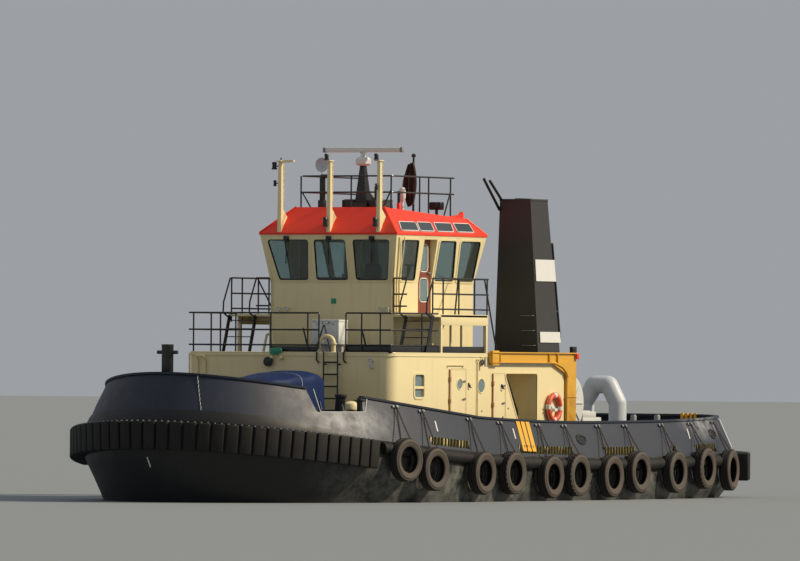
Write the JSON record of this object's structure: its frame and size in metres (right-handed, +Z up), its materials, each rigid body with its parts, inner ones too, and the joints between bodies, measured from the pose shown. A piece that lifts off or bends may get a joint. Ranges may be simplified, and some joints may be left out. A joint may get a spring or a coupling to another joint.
{
  "type": "tugboat",
  "caption": "Harbour tug with black hull, rubber fenders and tyres, cream deckhouse, wheelhouse with red roof, black funnels and a yellow aft gantry.",
  "frame": {"origin": "on the waterline plane, amidships, on the centreline of the hull", "axes": "+X towards the bow, +Y to port, +Z up; Z = 0 is the waterline"},
  "size_m": [26.68, 9.4906, 12.055],
  "materials": {
    "hull_paint": "near-black hull paint, semi-gloss",
    "bulwark_paint": "blue-black bulwark paint, glossy",
    "fender_rubber": "weathered black fender rubber",
    "cream_paint": "cream marine paint, semi-gloss",
    "red_paint": "orange-red marine paint, satin",
    "black_paint": "black marine paint, semi-gloss",
    "maroon_paint": "red-brown door paint",
    "yellow_paint": "ochre-yellow marine paint",
    "grey_paint": "mid-grey marine paint",
    "white_paint": "white marine paint",
    "window_glass": "tinted safety glass",
    "blue_cover": "blue coated canvas",
    "bronze": "cast propeller bronze",
    "buoy_red": "orange-red lifebuoy shell",
    "console_plastic": "dark grey moulded console and seat"
  },
  "bodies": {
    "boat": {"bow_bitt": "black_paint", "bow_fender": "fender_rubber", "bridge_deck": "cream_paint", "bridge_rail_port": "black_paint", "bridge_rail_starboard": "black_paint", "bulwark_port": "bulwark_paint", "bulwark_starboard": "bulwark_paint", "covered_dinghy": "blue_cover", "deck_locker": "white_paint", "deckhouse_walls": "cream_paint", "flagstaff": "black_paint", "funnel_port": "black_paint", "funnel_starboard": "black_paint", "gantry": "yellow_paint", "gooseneck_vent": "cream_paint", "helm_chair": "console_plastic", "house_ladder": "black_paint", "hull": "hull_paint", "lifebuoy_port": "buoy_red", "lifebuoy_starboard": "buoy_red", "light_post_centre": "cream_paint", "light_post_port": "cream_paint", "light_post_starboard": "cream_paint", "nozzle_port": "hull_paint", "nozzle_starboard": "hull_paint", "radar_mast": "black_paint", "roof_rail": "black_paint", "satellite_disc": "grey_paint", "shaft_port": "hull_paint", "shaft_starboard": "hull_paint", "side_fender_port": "fender_rubber", "side_fender_starboard": "fender_rubber", "steering_console": "console_plastic", "stern_fender": "fender_rubber", "towing_staple": "grey_paint", "towing_winch": "white_paint", "wheelhouse_floor": "grey_paint", "wheelhouse_glass_aft": "window_glass", "wheelhouse_glass_front": "window_glass", "wheelhouse_glass_port_aft": "window_glass", "wheelhouse_glass_port_forward": "window_glass", "wheelhouse_glass_starboard_aft": "window_glass", "wheelhouse_glass_starboard_forward": "window_glass", "wheelhouse_roof": "red_paint", "wheelhouse_walls": "cream_paint", "wing_platform_port": "black_paint", "wing_platform_starboard": "black_paint"},
    "radar_scanner": {"radar_scanner": "white_paint"},
    "propeller_port": {"propeller_port": "bronze"},
    "propeller_starboard": {"propeller_starboard": "bronze"},
    "rudder_port": {"rudder_port": "hull_paint"},
    "rudder_starboard": {"rudder_starboard": "hull_paint"},
    "wheelhouse_door_port": {"wheelhouse_door_port": "maroon_paint"},
    "wheelhouse_door_starboard": {"wheelhouse_door_starboard": "maroon_paint"},
    "deckhouse_door_port_forward": {"deckhouse_door_port_forward": "cream_paint"},
    "deckhouse_door_port_aft": {"deckhouse_door_port_aft": "cream_paint"},
    "deckhouse_door_starboard_forward": {"deckhouse_door_starboard_forward": "cream_paint"},
    "deckhouse_door_starboard_aft": {"deckhouse_door_starboard_aft": "cream_paint"}
  },
  "joints": [
    {"name": "radar_turn", "type": "hinge", "parent": "boat", "child": "radar_scanner", "pos_m": [2.32, 0, 8.7], "axis": [0, 0, 1], "continuous": true},
    {"name": "propeller_port_spin", "type": "hinge", "parent": "boat", "child": "propeller_port", "pos_m": [-9.6, 1.75, -1.95], "axis": [1, 0, 0], "continuous": true},
    {"name": "propeller_starboard_spin", "type": "hinge", "parent": "boat", "child": "propeller_starboard", "pos_m": [-9.6, -1.75, -1.95], "axis": [1, 0, 0], "continuous": true},
    {"name": "rudder_port_steer", "type": "hinge", "parent": "boat", "child": "rudder_port", "pos_m": [-10.7, 1.75, -1.95], "axis": [0, 0, 1], "range_deg": [-35, 35]},
    {"name": "rudder_starboard_steer", "type": "hinge", "parent": "boat", "child": "rudder_starboard", "pos_m": [-10.7, -1.75, -1.95], "axis": [0, 0, 1], "range_deg": [-35, 35]},
    {"name": "wheelhouse_door_port_swing", "type": "hinge", "parent": "boat", "child": "wheelhouse_door_port", "pos_m": [2.612, 1.745, 5.6], "axis": [0, 0, -1], "range_deg": [0, 90]},
    {"name": "wheelhouse_door_starboard_swing", "type": "hinge", "parent": "boat", "child": "wheelhouse_door_starboard", "pos_m": [2.612, -1.745, 5.6], "axis": [0, 0, 1], "range_deg": [0, 90]},
    {"name": "deckhouse_door_port_forward_swing", "type": "hinge", "parent": "boat", "child": "deckhouse_door_port_forward", "pos_m": [3.002, 2.945, 2.4], "axis": [0, 0, -1], "range_deg": [0, 90]},
    {"name": "deckhouse_door_port_aft_swing", "type": "hinge", "parent": "boat", "child": "deckhouse_door_port_aft", "pos_m": [0.782, 2.945, 2.4], "axis": [0, 0, -1], "range_deg": [0, 90]},
    {"name": "deckhouse_door_starboard_forward_swing", "type": "hinge", "parent": "boat", "child": "deckhouse_door_starboard_forward", "pos_m": [3.002, -2.945, 2.4], "axis": [0, 0, 1], "range_deg": [0, 90]},
    {"name": "deckhouse_door_starboard_aft_swing", "type": "hinge", "parent": "boat", "child": "deckhouse_door_starboard_aft", "pos_m": [0.782, -2.945, 2.4], "axis": [0, 0, 1], "range_deg": [0, 90]}
  ],
  "couplings": [
    {"joint": "rudder_starboard_steer", "follows": "rudder_port_steer", "ratio": 1}
  ]
}
